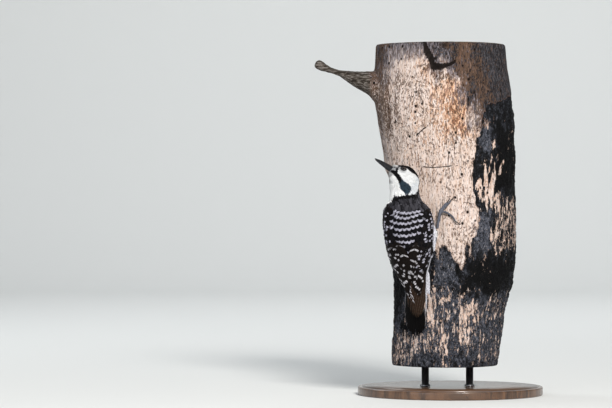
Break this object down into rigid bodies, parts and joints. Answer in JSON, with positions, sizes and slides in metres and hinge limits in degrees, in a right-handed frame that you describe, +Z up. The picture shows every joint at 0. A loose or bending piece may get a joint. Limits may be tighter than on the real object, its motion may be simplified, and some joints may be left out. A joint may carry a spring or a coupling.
{
  "type": "red-cockaded woodpecker on a perch",
  "caption": "Still life-size red-cockaded woodpecker clinging upright to a cut length of dead pine, held on a plain round stand.",
  "frame": {"origin": "middle of the stand base's underside, on the floor", "axes": "+Z up the trunk; +Y away from the viewer, from the bird's back into the trunk; +X to the viewer's right"},
  "size_m": [0.2472, 0.2107, 0.378],
  "materials": {
    "plumage_white": "soft white feathers",
    "plumage_barred": "soft black feathers barred with white",
    "plumage_dark": "stiff black flight feathers spotted with white",
    "bill_horn": "satin horn",
    "eye": "wet gloss",
    "leg_skin": "scaled grey skin",
    "claw_horn": "satin horn",
    "snag_wood": "weathered, barkless and part charred",
    "base_wood": "dark satin varnish",
    "rod_steel": "brushed"
  },
  "bodies": {
    "root": {"head": "plumage_white", "neck": "plumage_white", "torso": "plumage_barred", "wing_left": "plumage_dark", "wing_right": "plumage_dark", "tail": "plumage_dark", "bill_upper": "bill_horn", "bill_lower": "bill_horn", "eye_left": "eye", "eye_right": "eye", "thigh_left": "plumage_white", "thigh_right": "plumage_white", "tarsus_left": "leg_skin", "tarsus_right": "leg_skin", "toe_left_1": "leg_skin", "toe_left_2": "leg_skin", "toe_left_3": "leg_skin", "toe_left_4": "leg_skin", "toe_right_1": "leg_skin", "toe_right_2": "leg_skin", "toe_right_3": "leg_skin", "toe_right_4": "leg_skin", "claw_left_1": "claw_horn", "claw_left_2": "claw_horn", "claw_left_3": "claw_horn", "claw_left_4": "claw_horn", "claw_right_1": "claw_horn", "claw_right_2": "claw_horn", "claw_right_3": "claw_horn", "claw_right_4": "claw_horn", "perch_trunk": "snag_wood", "stand_base": "base_wood", "stand_rod_left": "rod_steel", "stand_rod_right": "rod_steel"}
  },
  "joints": []
}
